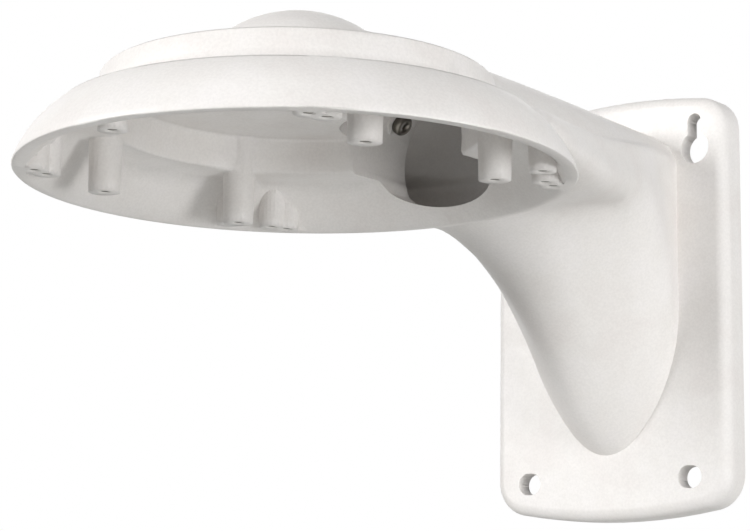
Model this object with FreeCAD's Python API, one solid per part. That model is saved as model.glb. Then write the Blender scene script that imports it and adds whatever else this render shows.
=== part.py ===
"""Wall bracket for a dome camera: a stepped round cap, a hollow arm and a keyhole wall plate, cast in one piece.

Frame: millimetres, +Z up. The wall is the plane Y = 0, the bracket stands out along -Y, and the origin is the
middle of the wall plate's back face. The bracket is the same on both sides of X = 0.
"""
import math
import os

import FreeCAD
import Part
from FreeCAD import Vector

os.makedirs("parts", exist_ok=True)

# Cap, measured from its own axis and from the plane of its rim.
REACH = 186.0                # wall to the axis of the cap
RIM_HEIGHT = 19.0            # rim plane above the middle of the wall plate
CAP_RADIUS = 90.0            # outside of the rim
RIM_WIDTH = 4.0              # flat ring of the rim
RIM_EDGE = 0.5               # small bevel on the outside of the rim
LOWER_RADIUS = 77.0          # top of the sloping wall
LOWER_HEIGHT = 19.0
WALL_BULGE = 1.4             # how far the sloping wall swells over a straight cone
UPPER_FOOT_RADIUS = 65.0     # upper step, slightly drafted
UPPER_RADIUS = 63.5
UPPER_HEIGHT = 31.5
STEP_EDGE = 0.8              # bevel of both step edges
WALL = 4.0                   # wall of the casting
CROWN_RADIUS = 41.0          # round end of the arm on top of the cap
CROWN_HEIGHT = 54.1

# Screw bosses in the cap: hole places from the cap axis.
TALL_PATTERN = (56.0, 31.2)          # half spacings, four tall bosses
SQUARE_PATTERN = (58.6, 58.6)        # four bosses in the corners of a square
OBLONG_PATTERN = (60.0, 52.4)        # four bosses close beside them
THREE_CIRCLE = 79.0                  # three bosses, 120 degrees apart
TALL_END = -2.5                      # end faces, from the rim plane
SHORT_END = 0.0
TALL_BOSS_END_RADIUS = 5.15
SHORT_BOSS_END_RADIUS = 4.4
BOSS_DRAFT = 1.5                     # degrees
TAP_DRILL = 3.3                      # for an M4 thread
TALL_TAP_DEPTH = 14.0
SHORT_TAP_DEPTH = 5.5        # the sloping wall is close above these
TAP_CHAMFER = 0.5

# Wall plate.
PLATE_WIDTH = 105.0
PLATE_HEIGHT = 160.5
PLATE_ARCH = 5.6             # rise of the arched top and bottom edges
PLATE_DEPTH = 11.4
PLATE_SKIN = 6.5             # thickness at the holes
PLATE_RIM = 5.0              # width of the rim that lies on the wall
PLATE_CORNER = 13.0
PLATE_EDGE = 4.5             # rounding of the front edge
SLOT_X = 36.0                # lower fixing holes
SLOT_Z = 15.05 - PLATE_HEIGHT / 2
SLOT_HEIGHT = 8.3
SLOT_LENGTH = 10.1
KEYHOLE_X = 40.0
KEYHOLE_Z = PLATE_HEIGHT / 2 - 23.05     # middle of the round part
KEYHOLE_HEAD = 12.0
KEYHOLE_NECK = 5.8
KEYHOLE_TOP = KEYHOLE_Z + 13.0           # top of the neck

# Arm passage where it opens into the cap.
MOUTH_RADIUS = 25.0
MOUTH_FLOOR = 5.0
MOUTH_SIDE = 14.0            # height where the oval floor meets the round sides
MOUTH_HEIGHT = 22.0          # middle of the tunnel above the rim plane
MOUTH_END = 57.0             # middle of its ball-shaped front end, from the cap axis
MOUTH_LENGTH = 60.0
DOME_RECESS_RADIUS = 21.0    # core recess under the round end of the arm

# Small screw for the camera's tether, in the upper left of the tunnel.
SCREW_DISTANCE = MOUTH_END + 17.0        # from the cap axis
SCREW_TURN = 143.5           # degrees round the tunnel, from +X
SCREW_SIZE = 4.0
SCREW_HEAD = 7.6
SCREW_HEAD_HEIGHT = 2.8
SCREW_LENGTH = 6.0
SCREW_HOLE_CLEARANCE = 0.05
RECESS_WIDTH = 2.5           # hexagon socket, across flats
RECESS_DEPTH = 1.6
PAD_RADIUS = 5.2
PAD_HEIGHT = 1.6


# Arm sections, by distance from the cap axis. Each row gives the crest height, the crown radius, the
# shoulder height, the half width at the shoulder and at the rim plane, and then the underside: its lowest
# height, the radius of its keel, how steep its sides grow, and the height of the flare beside the keel.
STATIONS = [
    (6.0, 52.3, 39.3, 16.0, 73.0, 84.0, 3.4, 40.0, 0.80, 3.4),
    (34.0, 53.9, 41.0, 20.0, 70.4, 83.4, 3.2, 40.0, 0.80, 3.2),
    (66.0, 53.8, 41.3, 22.8, 61.2, 71.6, 2.8, 40.0, 0.80, 2.8),
    (84.0, 53.5, 41.6, 24.6, 56.1, 65.0, 2.0, 38.0, 0.80, 2.2),
    (97.0, 53.2, 42.0, 26.0, 52.3, 60.2, -2.4, 30.0, 0.80, 2.0),
    (108.0, 52.9, 42.3, 27.6, 49.2, 56.2, -7.8, 26.0, 0.85, 3.6),
    (119.0, 52.6, 42.6, 29.4, 46.2, 52.0, -15.0, 19.0, 0.95, 5.6),
    (132.0, 52.1, 42.9, 31.7, 42.7, 47.2, -27.0, 13.5, 1.15, 8.2),
    (145.0, 51.5, 43.2, 33.7, 39.3, 42.4, -42.6, 10.5, 1.45, 10.6),
    (157.0, 51.0, 43.6, 35.3, 36.1, 38.0, -58.8, 11.0, 1.90, 12.0),
    (168.0, 50.6, 43.9, 36.4, 33.2, 33.9, -70.4, 12.8, 2.50, 12.0),
    (179.0, 50.4, 44.0, 36.9, 31.0, 30.8, -77.4, 15.0, 3.00, 12.0),
]
HOLLOW_END = (189.0, 50.3, 44.0, 37.0, 31.0, 31.0, -79.0, 15.0, 3.0, 12.0)
ROWS_REACH = 186.0           # the reach that these rows were drawn for
ROWS_FIXED = 66.0            # rows up to here belong to the cap and keep their distance
SECTION_STEP = 6.0           # spacing of the sections that are drawn between these rows
FLARE_RISE = 0.08            # slope of the flare towards the flank
FLARE_BLEND = 1.5            # softness of the line where keel and flare meet
WEB_FILLET = 9.0             # hollow curve where the crown meets the flat beside it
SHOULDER_EDGE = 3.0          # rounding of the shoulder
LOWER_TURN = (14.0, 12.0)    # where the flank starts to turn under: across and up
LOWER_POINTS = 17            # points drawn from the shoulder down to the keel
CAVITY_START = 84.0          # front end of the arm's hollow


def revolve(points):
    """Solid of revolution about the cap axis from (r, z) points; an entry of four is an arc: middle, end."""
    edges, start = [], points[0]
    for item in points[1:] + [points[0]]:
        end = item[-2:] if len(item) == 4 else item
        a, b = Vector(start[0], 0, start[1]), Vector(end[0], 0, end[1])
        if len(item) == 4:
            edges.append(Part.Arc(a, Vector(item[0], 0, item[1]), b).toShape())
        elif a.distanceToPoint(b) > 1e-6:
            edges.append(Part.makeLine(a, b))
        start = end
    face = Part.Face(Part.Wire(edges))
    return face.revolve(Vector(0, 0, 0), Vector(0, 0, 1), 360)


def slope_point(share, inset=0.0):
    """Point on the sloping wall at a share of its height, moved inwards by inset."""
    r0, z0, r1, z1 = CAP_RADIUS, RIM_EDGE, LOWER_RADIUS, LOWER_HEIGHT
    length = math.hypot(r1 - r0, z1 - z0)
    nr, nz = (z1 - z0) / length, (r0 - r1) / length
    swell = WALL_BULGE * 4 * share * (1 - share) - inset
    return r0 + (r1 - r0) * share + nr * swell, z0 + (z1 - z0) * share + nz * swell


def cap_outside():
    mid = slope_point(0.5)
    body = revolve([
        (0, 0), (CAP_RADIUS - RIM_EDGE, 0), (CAP_RADIUS, RIM_EDGE),
        (mid[0], mid[1], LOWER_RADIUS, LOWER_HEIGHT - STEP_EDGE),
        (LOWER_RADIUS - STEP_EDGE, LOWER_HEIGHT),
        (UPPER_FOOT_RADIUS, LOWER_HEIGHT), (UPPER_RADIUS, UPPER_HEIGHT - STEP_EDGE),
        (UPPER_RADIUS - STEP_EDGE, UPPER_HEIGHT),
        (0, UPPER_HEIGHT)])
    return body.fuse(crown_end(CROWN_RADIUS, LOWER_HEIGHT))


def crown_end(radius, floor):
    """Ball-shaped end of the arm over the cap, flat at the given height."""
    centre = CROWN_HEIGHT - CROWN_RADIUS
    foot = math.sqrt(radius ** 2 - (floor - centre) ** 2)
    s = math.sin(math.radians(45))
    return revolve([(0, floor), (foot, floor), (radius * math.cos(math.asin((floor - centre) / radius) * 0.5
                    + math.radians(45)), centre + radius * math.sin(math.asin((floor - centre) / radius) * 0.5
                    + math.radians(45)), 0, centre + radius)])


def cap_inside():
    ledge = LOWER_HEIGHT - WALL
    ceiling = UPPER_HEIGHT - WALL
    inner = CAP_RADIUS - RIM_WIDTH
    return revolve([
        (0, -1), (inner, -1), (inner, 0), (LOWER_RADIUS - WALL, ledge),
        (UPPER_RADIUS - WALL + 1.0, ledge), (UPPER_RADIUS - WALL, ledge + 1.0),
        (UPPER_RADIUS - WALL - 0.5, ceiling - 1.5), (UPPER_RADIUS - WALL - 2.0, ceiling), (0, ceiling)])


def along_top(top, end, leave_x, foot_x):
    """Thirteen points along the top from beside the crest to the shoulder, even within each stretch."""
    fine = [end * i / 400 for i in range(401)]
    lengths = [0.0]
    for x0, x1 in zip(fine, fine[1:]):
        lengths.append(lengths[-1] + math.hypot(x1 - x0, top(x1) - top(x0)))

    def length_at(x):
        return lengths[min(400, int(round(x / end * 400)))]

    whole = lengths[-1]
    first = min(length_at(min(leave_x, end)), 0.60 * whole)
    second = min(length_at(min(foot_x, end)), first + 0.24 * whole)
    wanted = [first * i / 6 for i in range(1, 7)]
    wanted += [first + (second - first) * i / 4 for i in range(1, 5)]
    wanted += [second + (whole - second) * i / 3 for i in range(1, 4)]
    points, k = [], 0
    for target in wanted:
        while k < 399 and lengths[k + 1] < target:
            k += 1
        share = (target - lengths[k]) / (lengths[k + 1] - lengths[k])
        x = fine[k] + (fine[k + 1] - fine[k]) * min(share, 1.0)
        points.append((x, top(x)))
    return points


def even_points(path, count):
    """Points evenly spaced along a path of many short lines, without its first point."""
    lengths = [0.0]
    for p, q in zip(path, path[1:]):
        lengths.append(lengths[-1] + math.hypot(q[0] - p[0], q[1] - p[1]))
    points, k = [], 0
    for i in range(1, int(count) + 1):
        target = lengths[-1] * i / int(count)
        while k < len(path) - 2 and lengths[k + 1] < target:
            k += 1
        share = min((target - lengths[k]) / (lengths[k + 1] - lengths[k]), 1.0)
        points.append((path[k][0] + (path[k + 1][0] - path[k][0]) * share,
                       path[k][1] + (path[k + 1][1] - path[k][1]) * share))
    return points


def reaching_rows(rows):
    """The rows with those beyond the cap spread so that the last ones still lie in the wall plate."""
    stretch = (REACH - ROWS_FIXED) / (ROWS_REACH - ROWS_FIXED)
    return [row if row[0] <= ROWS_FIXED else (ROWS_FIXED + (row[0] - ROWS_FIXED) * stretch,) + row[1:]
            for row in rows]


def between_rows(rows, y):
    """Row of values at distance y, on a smooth curve that never swings past the given rows."""
    k = max(i for i in range(len(rows) - 1) if rows[i][0] <= y + 1e-9)
    h = rows[k + 1][0] - rows[k][0]
    t = (y - rows[k][0]) / h

    def slope(i, column):
        if i in (0, len(rows) - 1):
            j = min(i, len(rows) - 2)
            return (rows[j + 1][column] - rows[j][column]) / (rows[j + 1][0] - rows[j][0])
        left = (rows[i][column] - rows[i - 1][column]) / (rows[i][0] - rows[i - 1][0])
        right = (rows[i + 1][column] - rows[i][column]) / (rows[i + 1][0] - rows[i][0])
        return 0.0 if left * right <= 0 else 2 * left * right / (left + right)

    values = [y]
    for column in range(1, len(rows[0])):
        p, q = rows[k][column], rows[k + 1][column]
        m, n = slope(k, column) * h, slope(k + 1, column) * h
        values.append(p + t * (m + t * (3 * (q - p) - 2 * m - n + t * (2 * (p - q) + m + n))))
    return values


def half_section(station, inset):
    """Points (x, z) from the crest over the shoulder down to the underside."""
    y, crest, crown, sz, sx, low, keel, keel_radius, steep, flare = station
    slope = (low - sx) / sz
    crest, crown, sz = crest - inset, crown - inset, sz - inset
    sx, low = sx - inset, low - inset
    centre = crest - crown
    reach = (crown + WEB_FILLET) ** 2 - (sz + WEB_FILLET - centre) ** 2
    foot_x = math.sqrt(max(reach, 0.0))
    leave_x = foot_x * crown / (crown + WEB_FILLET)

    def top(x):
        if x <= leave_x:
            return centre + math.sqrt(crown ** 2 - x ** 2)
        if x < foot_x:
            return sz + WEB_FILLET - math.sqrt(WEB_FILLET ** 2 - (x - foot_x) ** 2)
        return sz

    def flank(z):
        return low - slope * z

    def skin(x):
        turn = steep * keel_radius
        side = keel + x ** 2 / (2 * keel_radius) if x < turn else keel - turn * steep / 2 + steep * x
        depth = flare + FLARE_RISE * x - side
        return flare + FLARE_RISE * x - 0.5 * (depth + math.hypot(depth, 2 * FLARE_BLEND))

    def bottom(x):
        return skin(x) + inset * math.hypot(1.0, (skin(x + 0.01) - skin(x)) / 0.01)

    points = [(0.0, top(0.0))]
    points += along_top(top, sx - SHOULDER_EDGE, leave_x, foot_x)
    points.append((flank(sz - 0.3 * SHOULDER_EDGE) - 0.3 * SHOULDER_EDGE, sz - 0.3 * SHOULDER_EDGE))
    points.append((flank(sz - SHOULDER_EDGE), sz - SHOULDER_EDGE))
    # the flank meets the underside where their lines cross
    high, deep = sz - SHOULDER_EDGE, keel - 20.0
    for _ in range(40):
        z = (high + deep) / 2
        if bottom(flank(z)) > z:
            deep = z
        else:
            high = z
    edge = flank(z)
    across = min(LOWER_TURN[0], 0.25 * edge)
    up = min(LOWER_TURN[1], 0.6 * (sz - SHOULDER_EDGE - z))
    first, last = (flank(z + up), z + up), (edge - across, bottom(edge - across))
    path = [points[-1]]
    for i in range(31):
        t = i / 30
        a, b, c = (1 - t) ** 2, 2 * t * (1 - t), t ** 2
        path.append((a * first[0] + b * edge + c * last[0], a * first[1] + b * z + c * last[1]))
    path += [(last[0] * i / 60, bottom(last[0] * i / 60)) for i in range(59, -1, -1)]
    return points + even_points(path, LOWER_POINTS)


def mean_shares(rings):
    """Shares of the way round at each point, averaged over the rings, so that all curves run alike."""
    count = len(rings[0])
    steps = [0.0] * count
    for ring in rings:
        lengths = [ring[i].distanceToPoint(ring[(i + 1) % count]) for i in range(count)]
        steps = [step + length / sum(lengths) / len(rings) for step, length in zip(steps, lengths)]
    return [sum(steps[:i]) for i in range(count)] + [1.0]


def arm_loft(rows, start, inset, skip=1):
    """Solid through even sections to the last row; skip thins out points and sections where none shows."""
    rows = reaching_rows(rows)
    end = rows[-1][0]
    count = int(round((end - start) / (SECTION_STEP * skip)))
    rings = []
    for i in range(count + 1):
        station = between_rows(rows, start + (end - start) * i / count)
        half = half_section(station, inset)[::skip]
        right = [Vector(x, station[0], z) for x, z in half]
        rings.append(right + [Vector(-p.x, p.y, p.z) for p in reversed(right[1:-1])])
    shares = mean_shares(rings)
    wires = []
    for ring in rings:
        curve = Part.BSplineCurve()
        curve.interpolate(Points=ring, PeriodicFlag=True, Parameters=shares)
        wires.append(Part.Wire(curve.toShape()))
    return Part.makeLoft(wires, True, True)


def cap_frame(shape):
    """Move a shape from the cap's own frame to the bracket's."""
    moved = shape.copy()
    moved.translate(Vector(0, -REACH, RIM_HEIGHT))
    return moved


def plate_outline(margin):
    """Plate outline in the wall plane, moved inwards by margin."""
    half, top = PLATE_WIDTH / 2 - margin, PLATE_HEIGHT / 2 - margin
    side = top - PLATE_ARCH * (half / (PLATE_WIDTH / 2)) ** 2
    a, b = Vector(-half, 0, -side), Vector(half, 0, -side)
    c, d = Vector(half, 0, side), Vector(-half, 0, side)
    return Part.Face(Part.Wire([Part.Arc(a, Vector(0, 0, -top), b).toShape(), Part.makeLine(b, c),
                                Part.Arc(c, Vector(0, 0, top), d).toShape(), Part.makeLine(d, a)]))


def upright_edges(shape):
    """Edges of a prism that run straight along Y."""
    found = []
    for edge in shape.Edges:
        if len(edge.Vertexes) == 2:
            p, q = edge.Vertexes[0].Point, edge.Vertexes[1].Point
            if abs(p.x - q.x) < 1e-6 and abs(p.z - q.z) < 1e-6:
                found.append(edge)
    return found


def wall_plate():
    block = plate_outline(0).extrude(Vector(0, -PLATE_DEPTH, 0))
    block = block.makeFillet(PLATE_CORNER, upright_edges(block))
    front = [e for e in block.Edges if all(abs(v.Point.y + PLATE_DEPTH) < 1e-6 for v in e.Vertexes)]
    return block.makeFillet(PLATE_EDGE, front)


def back_pocket():
    depth = PLATE_DEPTH - PLATE_SKIN
    block = plate_outline(PLATE_RIM).extrude(Vector(0, -depth - 2, 0))
    block.translate(Vector(0, 2, 0))
    return block.makeFillet(PLATE_CORNER - PLATE_RIM, upright_edges(block))


def obround(x, z, length, height):
    """Cutter for a slotted hole along X through the plate."""
    r, half = height / 2, (length - height) / 2
    tool = Part.makeCylinder(r, 30, Vector(x - half, 5, z), Vector(0, -1, 0))
    tool = tool.fuse(Part.makeCylinder(r, 30, Vector(x + half, 5, z), Vector(0, -1, 0)))
    return tool.fuse(Part.makeBox(2 * half, 30, height, Vector(x - half, -25, z - r)))


def keyhole(x):
    """Cutter for a keyhole: round part with a narrow neck above it."""
    r = KEYHOLE_NECK / 2
    end = KEYHOLE_TOP - r
    tool = Part.makeCylinder(KEYHOLE_HEAD / 2, 30, Vector(x, 5, KEYHOLE_Z), Vector(0, -1, 0))
    tool = tool.fuse(Part.makeCylinder(r, 30, Vector(x, 5, end), Vector(0, -1, 0)))
    return tool.fuse(Part.makeBox(KEYHOLE_NECK, 30, end - KEYHOLE_Z, Vector(x - r, -25, KEYHOLE_Z)))


def boss_places():
    """Boss hole places from the cap axis: x, y, height of the end face, radius there."""
    places = []
    for half_x, half_y, end, radius in (TALL_PATTERN + (TALL_END, TALL_BOSS_END_RADIUS),
                                        SQUARE_PATTERN + (SHORT_END, SHORT_BOSS_END_RADIUS),
                                        OBLONG_PATTERN + (SHORT_END, SHORT_BOSS_END_RADIUS)):
        for sx in (1, -1):
            for sy in (1, -1):
                places.append((sx * half_x, sy * half_y, end, radius))
    for degrees in (-90, 30, 150):
        a = math.radians(degrees)
        places.append((THREE_CIRCLE * math.cos(a), THREE_CIRCLE * math.sin(a), SHORT_END,
                       SHORT_BOSS_END_RADIUS))
    return places


def bosses():
    ceiling = UPPER_HEIGHT - WALL / 2
    posts = []
    for x, y, end, radius in boss_places():
        high = ceiling - end
        top = radius + high * math.tan(math.radians(BOSS_DRAFT))
        posts.append(Part.makeCone(radius, top, high, Vector(x, y, end)))
    return posts


def tapped_holes():
    tools = []
    for x, y, end, radius in boss_places():
        depth = TALL_TAP_DEPTH if end == TALL_END else SHORT_TAP_DEPTH
        hole = Part.makeCylinder(TAP_DRILL / 2, depth + 1, Vector(x, y, end - 1))
        mouth = Part.makeCone(TAP_DRILL / 2 + TAP_CHAMFER + 0.5, TAP_DRILL / 2, TAP_CHAMFER + 0.5,
                              Vector(x, y, end - 0.5))
        tip = Part.makeCone(TAP_DRILL / 2, 0, TAP_DRILL / 2 * math.tan(math.radians(31)),
                            Vector(x, y, end + depth))
        tools.append(hole.fuse([mouth, tip]))
    return tools


def tunnel():
    """Cable passage: a round tunnel with a ball-shaped front end and a flatter, oval floor."""
    y0, z0, r = MOUTH_END, MOUTH_HEIGHT, MOUTH_RADIUS
    shape = Part.makeSphere(r, Vector(0, y0, z0))
    shape = shape.fuse(Part.makeCylinder(r, MOUTH_LENGTH, Vector(0, y0, z0), Vector(0, 1, 0)))
    half = math.sqrt(r ** 2 - (z0 - MOUTH_SIDE) ** 2)
    left, right = Vector(-half, 0, MOUTH_SIDE), Vector(half, 0, MOUTH_SIDE)
    oval = Part.Ellipse(right, Vector(0, 0, MOUTH_FLOOR), Vector(0, 0, MOUTH_SIDE))
    low = Part.ArcOfEllipse(oval, math.pi, 2 * math.pi).toShape()
    if low.CenterOfMass.z > MOUTH_SIDE:
        low = Part.ArcOfEllipse(oval, 0, math.pi).toShape()
    up = Vector(0, 0, 60)
    lines = [Part.makeLine(right, right + up), Part.makeLine(right + up, left + up), Part.makeLine(left + up, left)]
    trough = Part.Face(Part.Wire(Part.__sortEdges__([low] + lines)))
    trough = trough.extrude(Vector(0, 2 * r + MOUTH_LENGTH, 0))
    trough.translate(Vector(0, y0 - r, 0))
    bulge = Part.makeBox(4 * r, 2 * r + MOUTH_LENGTH, 60, Vector(-2 * r, y0 - r, MOUTH_SIDE))
    return shape.common(trough.fuse(bulge))


def dome_recess():
    radius = CROWN_RADIUS - 5.0
    centre = CROWN_HEIGHT - CROWN_RADIUS
    post = Part.makeCylinder(DOME_RECESS_RADIUS, 60, Vector(0, 0, 10))
    return post.common(Part.makeSphere(radius, Vector(0, 0, centre)))


def screw_frame(shape):
    """Move a shape that stands on the pad's face, with +Z away from the wall, to its place in the tunnel."""
    a = math.radians(SCREW_TURN)
    outward = Vector(math.cos(a), 0, math.sin(a))
    seat = Vector(0, SCREW_DISTANCE, MOUTH_HEIGHT) + outward * (MOUTH_RADIUS - PAD_HEIGHT)
    moved = shape.copy()
    moved.Placement = FreeCAD.Placement(seat, FreeCAD.Rotation(Vector(0, 0, 1), outward * -1))
    return cap_frame(moved)


def tether_screw():
    """Round-headed screw with a hexagon socket; its thread is drawn smooth."""
    r = SCREW_SIZE / 2
    shank = Part.makeCylinder(r, SCREW_LENGTH, Vector(0, 0, -SCREW_LENGTH))
    shank = shank.makeChamfer(0.5, [e for e in shank.Edges if abs(e.CenterOfMass.z + SCREW_LENGTH) < 1e-6])
    head = Part.makeCylinder(SCREW_HEAD / 2, SCREW_HEAD_HEIGHT)
    head = head.makeFillet(1.3, [e for e in head.Edges if abs(e.CenterOfMass.z - SCREW_HEAD_HEIGHT) < 1e-6])
    corner = RECESS_WIDTH / math.sqrt(3)
    ring = [Vector(corner * math.cos(math.radians(60 * i)), corner * math.sin(math.radians(60 * i)),
                   SCREW_HEAD_HEIGHT - RECESS_DEPTH) for i in range(7)]
    socket = Part.Face(Part.makePolygon(ring)).extrude(Vector(0, 0, RECESS_DEPTH + 1))
    return screw_frame(shank.fuse(head).removeSplitter().cut(socket))


def screw_pad():
    pad = Part.makeCone(PAD_RADIUS, PAD_RADIUS + 0.4, 5.0, Vector(0, 0, 0), Vector(0, 0, -1))
    return screw_frame(pad)


def screw_hole():
    r = SCREW_SIZE / 2 + SCREW_HOLE_CLEARANCE
    return screw_frame(Part.makeCylinder(r, SCREW_LENGTH + 2.0, Vector(0, 0, 1), Vector(0, 0, -1)))


def casting():
    cap = cap_outside()
    arm = arm_loft(STATIONS, STATIONS[0][0], 0.0)
    outer = cap_frame(cap.fuse(arm)).fuse(wall_plate())
    wide = 2 * (REACH + PLATE_WIDTH + PLATE_HEIGHT)
    wall_half = Part.makeBox(2 * wide, wide, 2 * wide, Vector(-wide, 0, -wide))
    outer = outer.cut(wall_half)
    print("outer", outer.isValid(), len(outer.Solids), round(outer.Volume))

    inside = cap_inside().fuse(dome_recess())
    hollow = arm_loft(STATIONS + [HOLLOW_END], CAVITY_START - 7.0, WALL + 0.6, 2)
    hollow = hollow.cut(cap).cut(Part.makeBox(2 * wide, CAVITY_START, 2 * wide, Vector(-wide, 0, -wide)))
    inside = inside.fuse(tunnel()).fuse(hollow)
    print("inside", inside.isValid(), len(inside.Solids), round(inside.Volume))
    body = outer.cut(cap_frame(inside)).cut(back_pocket())
    print("hollowed", body.isValid(), len(body.Solids), round(body.Volume))

    posts = bosses()
    room = cap.fuse(Part.makeCylinder(CAP_RADIUS - RIM_WIDTH, 10, Vector(0, 0, -10)))
    cluster = posts[0].fuse(posts[1:]).common(room)
    body = body.fuse(cap_frame(cluster)).fuse(screw_pad())
    print("bosses", body.isValid(), len(body.Solids), round(body.Volume))
    holes = tapped_holes()
    cutters = [cap_frame(h) for h in holes] + [screw_hole()]
    for side in (-1, 1):
        cutters.append(obround(side * SLOT_X, SLOT_Z, SLOT_LENGTH, SLOT_HEIGHT))
        cutters.append(keyhole(side * KEYHOLE_X))
    body = body.cut(cutters)
    print("holes", body.isValid(), len(body.Solids), round(body.Volume))
    return body


body = casting()
body.exportStep("parts/bracket_casting.step")
screw = tether_screw()
screw.exportStep("parts/tether_screw.step")
print("box", body.BoundBox, "faces", len(body.Faces))
print("screw", screw.isValid(), round(screw.Volume, 1), "overlap", round(screw.common(body).Volume, 4))
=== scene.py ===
"""Dresses the camera wall bracket: a white powder-coated casting, its tapped holes and its tether screw."""
import logging
import math
from dataclasses import dataclass
from enum import Enum

import bpy
from mathutils import Matrix, Vector

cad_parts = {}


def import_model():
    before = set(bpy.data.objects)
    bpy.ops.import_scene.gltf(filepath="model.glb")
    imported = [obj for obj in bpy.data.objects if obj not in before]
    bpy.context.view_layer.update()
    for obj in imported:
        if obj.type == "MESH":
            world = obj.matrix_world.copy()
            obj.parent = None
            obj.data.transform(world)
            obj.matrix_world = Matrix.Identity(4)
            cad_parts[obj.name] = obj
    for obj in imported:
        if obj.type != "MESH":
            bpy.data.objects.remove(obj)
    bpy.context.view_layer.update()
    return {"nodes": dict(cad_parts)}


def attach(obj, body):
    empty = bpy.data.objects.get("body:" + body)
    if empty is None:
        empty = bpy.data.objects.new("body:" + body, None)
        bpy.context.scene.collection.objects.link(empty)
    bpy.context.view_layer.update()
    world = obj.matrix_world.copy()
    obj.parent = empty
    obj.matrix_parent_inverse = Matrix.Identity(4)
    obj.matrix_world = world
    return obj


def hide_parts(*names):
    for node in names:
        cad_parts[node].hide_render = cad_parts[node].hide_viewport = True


log = logging.getLogger("bracket")
MM = 0.001
SAME_POINT = 0.000001       # corners nearer than this, in metres, are one corner
AREA_WEIGHT = 80            # how strongly large faces lead the shading at a shared corner


def linear_from_hex(code: str) -> tuple[float, float, float, float]:
    """Turns an sRGB hex colour into linear RGBA.

    Args:
        code: colour such as "#E6E2DF".

    Returns:
        Linear red, green, blue and an alpha of 1.
    """
    parts = [int(code.lstrip("#")[i:i + 2], 16) / 255 for i in (0, 2, 4)]
    linear = [p / 12.92 if p <= 0.04045 else ((p + 0.055) / 1.055) ** 2.4 for p in parts]
    return (linear[0], linear[1], linear[2], 1.0)


def add_node(tree: bpy.types.NodeTree, kind: str, settings: dict | None = None,
             values: dict | None = None, links: dict | None = None) -> bpy.types.Node:
    """Adds one shader node.

    Args:
        tree: node tree that gets the node.
        kind: the node's type name.
        settings: properties of the node itself.
        values: default values by input name or index.
        links: output sockets to join, by input name or index.

    Returns:
        The new node.
    """
    node = tree.nodes.new(kind)
    for name, value in (settings or {}).items():
        setattr(node, name, value)
    for name, value in (values or {}).items():
        node.inputs[name].default_value = value
    for name, socket in (links or {}).items():
        tree.links.new(socket, node.inputs[name])
    return node


def blank_material(name: str) -> bpy.types.Material:
    """Makes a material with an empty node tree.

    Args:
        name: name of the material.

    Returns:
        The material, with no node in it.
    """
    mat = bpy.data.materials.new(name)
    mat.use_nodes = True
    mat.node_tree.nodes.clear()
    return mat


def seen_rays(tree: bpy.types.NodeTree) -> bpy.types.NodeSocket:
    """Tells what the camera sees, also in a reflection or through glass, from light that falls on things.

    Args:
        tree: node tree that gets the nodes.

    Returns:
        A socket that is 1 for what is seen and 0 for light.
    """
    path = add_node(tree, "ShaderNodeLightPath")
    sharp = add_node(tree, "ShaderNodeMath", settings={"operation": "MAXIMUM"},
                     links={0: path.outputs["Is Glossy Ray"], 1: path.outputs["Is Transmission Ray"]})
    seen = add_node(tree, "ShaderNodeMath", settings={"operation": "MAXIMUM"},
                    links={0: path.outputs["Is Camera Ray"], 1: sharp.outputs["Value"]})
    return seen.outputs["Value"]


def deselect_all() -> None:
    """Leaves nothing selected."""
    if bpy.context.object and bpy.context.object.mode != "OBJECT":
        bpy.ops.object.mode_set(mode="OBJECT")
    bpy.ops.object.select_all(action="DESELECT")


def select_only(obj: bpy.types.Object) -> None:
    """Makes one object the selected and active one.

    Args:
        obj: the object to select.
    """
    deselect_all()
    obj.select_set(True)
    bpy.context.view_layer.objects.active = obj


@dataclass(frozen=True)
class Crease:
    """A box, in millimetres, where edges flatter than elsewhere stay sharp."""
    low: tuple[float, float, float]
    high: tuple[float, float, float]
    angle: float

    def holds(self, point: Vector) -> bool:
        """Tells whether a point in metres lies in the box."""
        return all(lo * MM <= value <= hi * MM for lo, value, hi in zip(self.low, point, self.high))

    def mark(self, obj: bpy.types.Object) -> None:
        """Marks the edges in the box that bend by more than the angle.

        Args:
            obj: the active object, at the origin.
        """
        bpy.ops.object.mode_set(mode="EDIT")
        bpy.ops.mesh.select_mode(type="EDGE")
        bpy.ops.mesh.select_all(action="DESELECT")
        bpy.ops.mesh.edges_select_sharp(sharpness=math.radians(self.angle))
        bpy.ops.object.mode_set(mode="OBJECT")
        points = obj.data.vertices
        for edge in obj.data.edges:
            if edge.select and all(self.holds(points[index].co) for index in edge.vertices):
                edge.use_edge_sharp = True


def merged_copy(node: bpy.types.Object, name: str, angle: float,
                creases: tuple[Crease, ...] = ()) -> bpy.types.Object:
    """Copies a node's mesh with its corners joined and its smooth faces shaded smooth.

    Args:
        node: the node to copy.
        name: name of the copy.
        angle: edges sharper than this many degrees stay sharp.
        creases: boxes where flatter edges stay sharp too.

    Returns:
        The copy, at the origin.
    """
    copy = bpy.data.objects.new(name, node.data.copy())
    bpy.context.scene.collection.objects.link(copy)
    copy.matrix_world = node.matrix_world.copy()
    copy.data.materials.clear()
    select_only(copy)
    bpy.ops.object.mode_set(mode="EDIT")
    bpy.ops.mesh.select_all(action="SELECT")
    bpy.ops.mesh.remove_doubles(threshold=SAME_POINT)
    bpy.ops.mesh.select_all(action="DESELECT")
    bpy.ops.object.mode_set(mode="OBJECT")
    bpy.ops.object.shade_smooth_by_angle(angle=math.radians(angle))
    for crease in creases:
        crease.mark(copy)
    weighted = copy.modifiers.new("even_normals", "WEIGHTED_NORMAL")
    weighted.mode, weighted.weight, weighted.keep_sharp = "FACE_AREA", AREA_WEIGHT, True
    bpy.ops.object.modifier_apply(modifier=weighted.name)
    deselect_all()
    return copy


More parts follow.
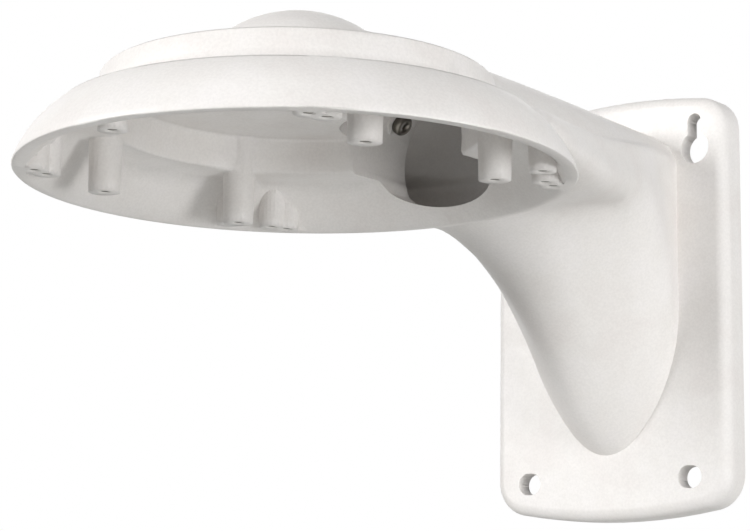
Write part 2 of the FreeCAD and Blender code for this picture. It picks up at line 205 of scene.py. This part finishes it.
class CoatTone(Enum):
    """The tones that the powder coat drifts between."""
    LIGHT = "#E9E6E4"
    MAIN = "#E7E4E1"
    DULL = "#E4E0DD"


@dataclass(frozen=True)
class PowderCoat:
    """Matt off-white polyester powder coat, sprayed and baked on cast aluminium.

    It gives the eye a soft broad sheen with no sharp reflection, a fine orange-peel grain, and a slight
    unevenness of tone.
    """
    name: str = "powder_coat_white"
    grain_mm: float = 0.9                               # orange peel, really 0.5 mm: drawn coarser, to show
    grain_depth_mm: float = 0.05
    ripple_mm: float = 3.2                              # slow waves left by the flow of the powder
    ripple_depth_mm: float = 0.06
    cloud_mm: float = 24.0                              # slow drift of tone
    cloud_ends: tuple[float, float] = (0.34, 0.66)      # noise levels of the dullest and the lightest tone
    grain_ends: tuple[float, float] = (0.36, 0.64)      # noise levels between which the tone changes
    grain_tone: tuple[float, float] = (0.965, 1.02)     # how far the grain darkens and lightens the coat
    ripple_ends: tuple[float, float] = (0.3, 0.7)       # noise levels between which the roughness drifts
    roughness: float = 0.46
    roughness_drift: tuple[float, float] = (-0.05, 0.07)
    ior: float = 1.5

    def build(self) -> bpy.types.Material:
        """Makes the material.

        Returns:
            The finished material.
        """
        mat = blank_material(self.name)
        tree = mat.node_tree
        place = add_node(tree, "ShaderNodeTexCoord").outputs["Object"]
        grain = add_node(tree, "ShaderNodeTexNoise",
                         values={"Scale": 1 / (self.grain_mm * MM), "Detail": 3.0, "Roughness": 0.55},
                         links={"Vector": place})
        ripple = add_node(tree, "ShaderNodeTexNoise",
                          values={"Scale": 1 / (self.ripple_mm * MM), "Detail": 2.0, "Roughness": 0.5},
                          links={"Vector": place})
        cloud = add_node(tree, "ShaderNodeTexNoise",
                         values={"Scale": 1 / (self.cloud_mm * MM), "Detail": 3.0, "Roughness": 0.6},
                         links={"Vector": place})
        tone = add_node(tree, "ShaderNodeValToRGB", links={"Fac": cloud.outputs["Fac"]})
        ramp = tone.color_ramp
        for stop, level, shade in zip(ramp.elements, self.cloud_ends, (CoatTone.DULL, CoatTone.LIGHT)):
            stop.position, stop.color = level, linear_from_hex(shade.value)
        ramp.elements.new(sum(self.cloud_ends) / 2).color = linear_from_hex(CoatTone.MAIN.value)
        speck = add_node(tree, "ShaderNodeMapRange",
                         values={"From Min": self.grain_ends[0], "From Max": self.grain_ends[1],
                                 "To Min": self.grain_tone[0], "To Max": self.grain_tone[1]},
                         links={"Value": grain.outputs["Fac"]})
        colour = add_node(tree, "ShaderNodeMix", settings={"data_type": "RGBA", "blend_type": "MULTIPLY"},
                          values={0: 1.0}, links={6: tone.outputs["Color"], 7: speck.outputs["Result"]})
        sheen = add_node(tree, "ShaderNodeMapRange",
                         values={"From Min": self.ripple_ends[0], "From Max": self.ripple_ends[1],
                                 "To Min": self.roughness + self.roughness_drift[0],
                                 "To Max": self.roughness + self.roughness_drift[1]},
                         links={"Value": ripple.outputs["Fac"]})
        waves = add_node(tree, "ShaderNodeBump",
                         values={"Strength": 0.35, "Distance": self.ripple_depth_mm * MM},
                         links={"Height": ripple.outputs["Fac"]})
        peel = add_node(tree, "ShaderNodeBump",
                        values={"Strength": 0.45, "Distance": self.grain_depth_mm * MM},
                        links={"Height": grain.outputs["Fac"], "Normal": waves.outputs["Normal"]})
        shader = add_node(tree, "ShaderNodeBsdfPrincipled", values={"IOR": self.ior},
                          links={"Base Color": colour.outputs[2], "Roughness": sheen.outputs["Result"],
                                 "Normal": peel.outputs["Normal"]})
        add_node(tree, "ShaderNodeOutputMaterial", links={"Surface": shader.outputs["BSDF"]})
        return mat


@dataclass(frozen=True)
class PlatedSteel:
    """Dark zinc-plated steel of a small machine screw, formed cold.

    It gives the eye a dark metal with small hard glints and a finely marked face.
    """
    name: str = "plated_screw_steel"
    tone: str = "#6E6A64"
    mark_mm: float = 0.35           # tool marks, really about 0.1 mm apart: drawn coarser, to show
    mark_depth_mm: float = 0.02
    roughness: float = 0.32
    roughness_drift: tuple[float, float] = (-0.08, 0.12)

    def build(self) -> bpy.types.Material:
        """Makes the material.

        Returns:
            The finished material.
        """
        mat = blank_material(self.name)
        tree = mat.node_tree
        place = add_node(tree, "ShaderNodeTexCoord").outputs["Object"]
        marks = add_node(tree, "ShaderNodeTexNoise",
                         values={"Scale": 1 / (self.mark_mm * MM), "Detail": 2.0}, links={"Vector": place})
        rough = add_node(tree, "ShaderNodeMapRange",
                         values={"To Min": self.roughness + self.roughness_drift[0],
                                 "To Max": self.roughness + self.roughness_drift[1]},
                         links={"Value": marks.outputs["Fac"]})
        dents = add_node(tree, "ShaderNodeBump",
                         values={"Strength": 0.3, "Distance": self.mark_depth_mm * MM},
                         links={"Height": marks.outputs["Fac"]})
        shader = add_node(tree, "ShaderNodeBsdfPrincipled",
                          values={"Base Color": linear_from_hex(self.tone), "Metallic": 1.0},
                          links={"Roughness": rough.outputs["Result"], "Normal": dents.outputs["Normal"]})
        add_node(tree, "ShaderNodeOutputMaterial", links={"Surface": shader.outputs["BSDF"]})
        return mat


@dataclass(frozen=True)
class TappedMetal:
    """Bare aluminium in the tapped holes, cut after the coat was baked.

    It gives the eye a darker grey than the coat, with small bright glints on the crests of the thread.
    """
    name: str = "tapped_aluminium"
    tone: str = "#A9A6A1"
    scratch_mm: float = 0.25        # scratches, really under 0.1 mm wide: drawn coarser, to show
    roughness: float = 0.34
    roughness_drift: tuple[float, float] = (-0.1, 0.14)

    def build(self) -> bpy.types.Material:
        """Makes the material.

        Returns:
            The finished material.
        """
        mat = blank_material(self.name)
        tree = mat.node_tree
        place = add_node(tree, "ShaderNodeTexCoord").outputs["Object"]
        marks = add_node(tree, "ShaderNodeTexNoise",
                         values={"Scale": 1 / (self.scratch_mm * MM), "Detail": 1.0}, links={"Vector": place})
        rough = add_node(tree, "ShaderNodeMapRange",
                         values={"To Min": self.roughness + self.roughness_drift[0],
                                 "To Max": self.roughness + self.roughness_drift[1]},
                         links={"Value": marks.outputs["Fac"]})
        shader = add_node(tree, "ShaderNodeBsdfPrincipled",
                          values={"Base Color": linear_from_hex(self.tone), "Metallic": 1.0},
                          links={"Roughness": rough.outputs["Result"]})
        add_node(tree, "ShaderNodeOutputMaterial", links={"Surface": shader.outputs["BSDF"]})
        return mat


@dataclass
class Casting:
    """The one-piece bracket: cap, bosses, arm and wall plate."""
    coat: bpy.types.Material
    smooth_angle: float = 38.0
    creases: tuple[Crease, ...] = (
        Crease((-46.0, -11.5, -73.0), (46.0, -11.3, 73.0), 2.0),       # root of the arm on the plate
        Crease((-27.0, -130.0, 22.0), (27.0, -100.0, 36.0), 15.0),     # lower edge of the passage's mouth
        Crease((50.0, -254.0, 19.1), (75.0, -222.0, 33.0), 16.0),      # feet of the short bosses, front right
        Crease((-75.0, -254.0, 19.1), (-50.0, -222.0, 33.0), 16.0),    # the same, front left
        Crease((50.0, -150.0, 19.1), (75.0, -118.0, 33.0), 16.0),      # the same, rear right
        Crease((-75.0, -150.0, 19.1), (-50.0, -118.0, 33.0), 16.0),    # the same, rear left
        Crease((-8.0, -272.0, 19.1), (8.0, -258.0, 33.0), 16.0),       # foot of the foremost boss
    )

    def build(self, node: bpy.types.Object) -> bpy.types.Object:
        """Dresses the casting.

        Args:
            node: the casting's own node.

        Returns:
            The dressed casting.
        """
        body = merged_copy(node, "casting_shell", self.smooth_angle, self.creases)
        body.data.materials.append(self.coat)
        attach(body, "root")
        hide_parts("bracket_casting")
        log.info("casting: %d faces", len(body.data.polygons))
        return body


@dataclass
class TetherScrew:
    """The small screw in the mouth of the arm."""
    steel: bpy.types.Material
    smooth_angle: float = 32.0

    def build(self, node: bpy.types.Object) -> bpy.types.Object:
        """Dresses the screw.

        Args:
            node: the screw's own node.

        Returns:
            The dressed screw.
        """
        screw = merged_copy(node, "tether_screw_body", self.smooth_angle)
        screw.data.materials.append(self.steel)
        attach(screw, "root")
        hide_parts("tether_screw")
        log.info("screw: %d faces", len(screw.data.polygons))
        return screw


@dataclass(frozen=True)
class HoleGroup:
    """Tapped holes of one kind: places from the cap axis, height of their mouths from the rim, and depth."""
    places_mm: tuple[tuple[float, float], ...]
    mouth_mm: float
    depth_mm: float


@dataclass
class BossThreads:
    """M4 threads in the tapped holes of the camera bosses: a thin bare sleeve with a ridge wound in it."""
    metal: bpy.types.Material
    cap_axis_mm: tuple[float, float, float] = (0.0, -186.0, 19.0)      # at the rim plane
    tall_mm: tuple[float, float] = (56.0, 31.2)             # half spacings of the four tall bosses
    square_mm: tuple[float, float] = (58.6, 58.6)           # and of two groups of four short ones
    oblong_mm: tuple[float, float] = (60.0, 52.4)
    circle_mm: float = 79.0                                 # three more short ones on a circle
    circle_turns: tuple[float, float, float] = (-90.0, 30.0, 150.0)
    tall_mouth_mm: float = -2.5
    short_mouth_mm: float = 0.0
    tall_depth_mm: float = 13.0
    short_depth_mm: float = 5.0
    chamfer_mm: float = 0.5
    hole_radius_mm: float = 1.65
    sleeve_gap_mm: float = 0.01
    sleeve_wall_mm: float = 0.03
    pitch_mm: float = 0.7
    ridge_mm: float = 0.16                                  # half the width of the ridge
    ridge_stand: float = 0.6                                # share of that from its middle to the hole's wall
    steps: int = 20                                         # sides of the sleeve and of one turn of the ridge
    smooth_angle: float = 40.0

    def corners(self, half: tuple[float, float]) -> list[tuple[float, float]]:
        """Gives the corners of a rectangle from its half sides."""
        return [(half[0] * sx, half[1] * sy) for sx in (1, -1) for sy in (1, -1)]

    def groups(self) -> list[HoleGroup]:
        """Lists the holes of the tall bosses and of the short ones.

        Returns:
            One group for each depth.
        """
        turns = [math.radians(turn) for turn in self.circle_turns]
        short = self.corners(self.square_mm) + self.corners(self.oblong_mm)
        short += [(self.circle_mm * math.cos(turn), self.circle_mm * math.sin(turn)) for turn in turns]
        return [HoleGroup(tuple(self.corners(self.tall_mm)), self.tall_mouth_mm, self.tall_depth_mm),
                HoleGroup(tuple(short), self.short_mouth_mm, self.short_depth_mm)]

    def sleeve(self, depth: float) -> None:
        """Adds a thin closed sleeve that lines one hole, standing on the origin.

        Args:
            depth: its length in metres.
        """
        outer = (self.hole_radius_mm - self.sleeve_gap_mm) * MM
        bpy.ops.mesh.primitive_cylinder_add(vertices=self.steps, radius=outer, depth=depth,
                                            end_fill_type="NOTHING", location=(0, 0, depth / 2))
        solid = bpy.context.object.modifiers.new("wall", "SOLIDIFY")
        solid.thickness, solid.offset = self.sleeve_wall_mm * MM, -1.0
        bpy.ops.object.modifier_apply(modifier=solid.name)
        bpy.ops.object.transform_apply(location=True, rotation=True, scale=True)

    def ridge(self, depth: float) -> None:
        """Adds the wound ridge of one hole, standing on the origin.

        Args:
            depth: its length in metres.
        """
        side = (self.hole_radius_mm - self.ridge_stand * self.ridge_mm) * MM
        bpy.ops.mesh.primitive_circle_add(vertices=4, radius=self.ridge_mm * MM, location=(0, 0, 0))
        bpy.ops.object.mode_set(mode="EDIT")
        bpy.ops.mesh.select_all(action="SELECT")
        bpy.ops.transform.rotate(value=math.radians(90), orient_axis="X", center_override=(0, 0, 0))
        bpy.ops.transform.translate(value=(side, 0, self.ridge_mm * MM))
        bpy.ops.object.mode_set(mode="OBJECT")
        winding = bpy.context.object.modifiers.new("winding", "SCREW")
        winding.axis, winding.steps, winding.render_steps = "Z", self.steps, self.steps
        winding.screw_offset = self.pitch_mm * MM
        winding.iterations = int(depth / (self.pitch_mm * MM)) - 1
        bpy.ops.object.modifier_apply(modifier=winding.name)
        bpy.ops.object.mode_set(mode="EDIT")
        bpy.ops.mesh.select_all(action="SELECT")
        bpy.ops.mesh.fill_holes(sides=0)
        bpy.ops.mesh.select_all(action="SELECT")
        bpy.ops.mesh.normals_make_consistent(inside=False)
        bpy.ops.object.mode_set(mode="OBJECT")

    def fill(self, group: HoleGroup) -> bpy.types.Object:
        """Makes the threads of one group: one hole's worth, copied from place to place.

        Args:
            group: the holes to line.

        Returns:
            The threads of the whole group, with their place in the mesh.
        """
        depth = (group.depth_mm - self.chamfer_mm) * MM
        deselect_all()
        self.sleeve(depth)
        sleeve = bpy.context.object
        deselect_all()
        self.ridge(depth)
        thread = bpy.context.object
        sleeve.select_set(True)
        bpy.ops.object.join()
        bpy.ops.object.mode_set(mode="EDIT")
        bpy.ops.mesh.select_all(action="SELECT")
        spot = Vector((0.0, 0.0, 0.0))
        height = group.mouth_mm + self.chamfer_mm
        for index, (x, y) in enumerate(group.places_mm):
            target = (Vector(self.cap_axis_mm) + Vector((x, y, height))) * MM
            if index:
                bpy.ops.mesh.duplicate()
            bpy.ops.transform.translate(value=target - spot)
            spot = target
        bpy.ops.object.mode_set(mode="OBJECT")
        return thread

    def build(self) -> bpy.types.Object:
        """Makes all the threads as one piece.

        Returns:
            The finished piece.
        """
        tall, short = [self.fill(group) for group in self.groups()]
        select_only(tall)
        short.select_set(True)
        bpy.ops.object.join()
        threads = bpy.context.object
        threads.name = "boss_threads"
        threads.data.materials.clear()
        threads.data.materials.append(self.metal)
        bpy.ops.object.shade_smooth_by_angle(angle=math.radians(self.smooth_angle))
        deselect_all()
        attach(threads, "root")
        log.info("threads: %d faces", len(threads.data.polygons))
        return threads


@dataclass(frozen=True)
class Lamp:
    """A soft round lamp: turn from the front and height in degrees, width in metres, power in watts."""
    name: str
    turn: float
    height: float
    size: float
    power: float

    def away(self) -> Vector:
        """Gives the direction from the bracket in which the lamp hangs."""
        side, rise = math.radians(self.turn), math.radians(self.height)
        return Vector((math.sin(side) * math.cos(rise), -math.cos(side) * math.cos(rise), math.sin(rise)))


@dataclass
class Studio:
    """Plain pale floor, white surroundings, soft lamps and the camera."""
    floor_height: float = -0.75
    floor_size: float = 8.0
    floor_tone: str = "#D2D2D0"
    floor_roughness: float = 0.9
    floor_glow: float = 1.0        # only seen, and no light on the object: the paper stays pale in dim light
    world_level: float = 0.05
    camera_place: tuple[float, float, float] = (0.44508, -0.66507, -0.1286)
    camera_right: tuple[float, float, float] = (0.7603, 0.6494, 0.0139)
    camera_up: tuple[float, float, float] = (0.1067, -0.146, 0.9835)
    lens_mm: float = 100.54
    sensor_mm: float = 36.0
    near_clip: float = 0.01
    lamp_aim: tuple[float, float, float] = (0.0, -0.09, 0.0)
    lamp_distance: float = 1.6
    lamps: tuple[Lamp, ...] = (
        Lamp("left_key", turn=-30.0, height=14.0, size=0.50, power=18.0),
        Lamp("right_key", turn=84.0, height=-12.0, size=0.50, power=9.5),
        Lamp("right_fill", turn=66.0, height=10.0, size=0.80, power=6.5),
        Lamp("front_fill", turn=32.0, height=8.0, size=0.70, power=5.0),
        Lamp("rear_right", turn=120.0, height=10.0, size=0.60, power=2.5),
        Lamp("overhead", turn=0.0, height=66.0, size=0.90, power=4.0),
        Lamp("rear_fill", turn=218.0, height=22.0, size=0.80, power=2.5),
    )

    def camera(self) -> None:
        """Places the camera where the photograph was taken from."""
        data = bpy.data.cameras.new("camera")
        data.lens, data.sensor_width, data.clip_start = self.lens_mm, self.sensor_mm, self.near_clip
        right, up = Vector(self.camera_right).normalized(), Vector(self.camera_up)
        up = (up - right * up.dot(right)).normalized()
        turn = Matrix((right, up, right.cross(up))).transposed()
        cam = bpy.data.objects.new("camera", data)
        cam.matrix_world = Matrix.Translation(self.camera_place) @ turn.to_4x4()
        bpy.context.scene.collection.objects.link(cam)
        bpy.context.scene.camera = cam

    def floor(self) -> None:
        """Lays the pale floor below the bracket."""
        deselect_all()
        bpy.ops.mesh.primitive_plane_add(size=self.floor_size, location=(0, 0, self.floor_height))
        floor = bpy.context.object
        floor.name = "floor"
        mat = bpy.data.materials.new("floor_paper")
        mat.use_nodes = True
        tree = mat.node_tree
        shader = tree.nodes["Principled BSDF"]
        shader.inputs["Base Color"].default_value = linear_from_hex(self.floor_tone)
        shader.inputs["Roughness"].default_value = self.floor_roughness
        shader.inputs["Emission Color"].default_value = linear_from_hex(self.floor_tone)
        glow = add_node(tree, "ShaderNodeMath", settings={"operation": "MULTIPLY"},
                        values={1: self.floor_glow}, links={0: seen_rays(tree)})
        tree.links.new(glow.outputs["Value"], shader.inputs["Emission Strength"])
        floor.data.materials.append(mat)
        deselect_all()

    def world(self) -> None:
        """White surroundings for the camera and for reflections, and even dimmer light on the object."""
        world = bpy.data.worlds.new("surroundings")
        bpy.context.scene.world = world
        world.use_nodes = True
        tree = world.node_tree
        tree.nodes.clear()
        level = add_node(tree, "ShaderNodeMapRange", values={"To Min": self.world_level, "To Max": 1.0},
                         links={"Value": seen_rays(tree)})
        back = add_node(tree, "ShaderNodeBackground", values={"Color": (1, 1, 1, 1)},
                        links={"Strength": level.outputs["Result"]})
        add_node(tree, "ShaderNodeOutputWorld", links={"Surface": back.outputs["Background"]})

    def light(self) -> None:
        """Hangs the soft lamps round the bracket, each turned towards it."""
        for lamp in self.lamps:
            data = bpy.data.lights.new(lamp.name, "AREA")
            data.shape, data.size, data.energy = "DISK", lamp.size, lamp.power
            away = lamp.away()
            hung = bpy.data.objects.new(lamp.name, data)
            hung.location = Vector(self.lamp_aim) + away * self.lamp_distance
            hung.rotation_euler = away.to_track_quat("Z", "Y").to_euler()
            bpy.context.scene.collection.objects.link(hung)

    def build(self) -> None:
        """Sets up the whole studio."""
        self.camera()
        self.floor()
        self.world()
        self.light()
        bpy.context.scene.view_settings.view_transform = "Standard"
        log.info("studio ready")


def main() -> None:
    """Loads the frame, sets up the studio and dresses the bracket, its screw and its threads."""
    logging.basicConfig(level=logging.INFO, format="%(name)s: %(message)s")
    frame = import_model()
    Studio().build()
    Casting(PowderCoat().build()).build(frame["nodes"]["bracket_casting"])
    TetherScrew(PlatedSteel().build()).build(frame["nodes"]["tether_screw"])
    BossThreads(TappedMetal().build()).build()


if __name__ == "__main__":
    main()
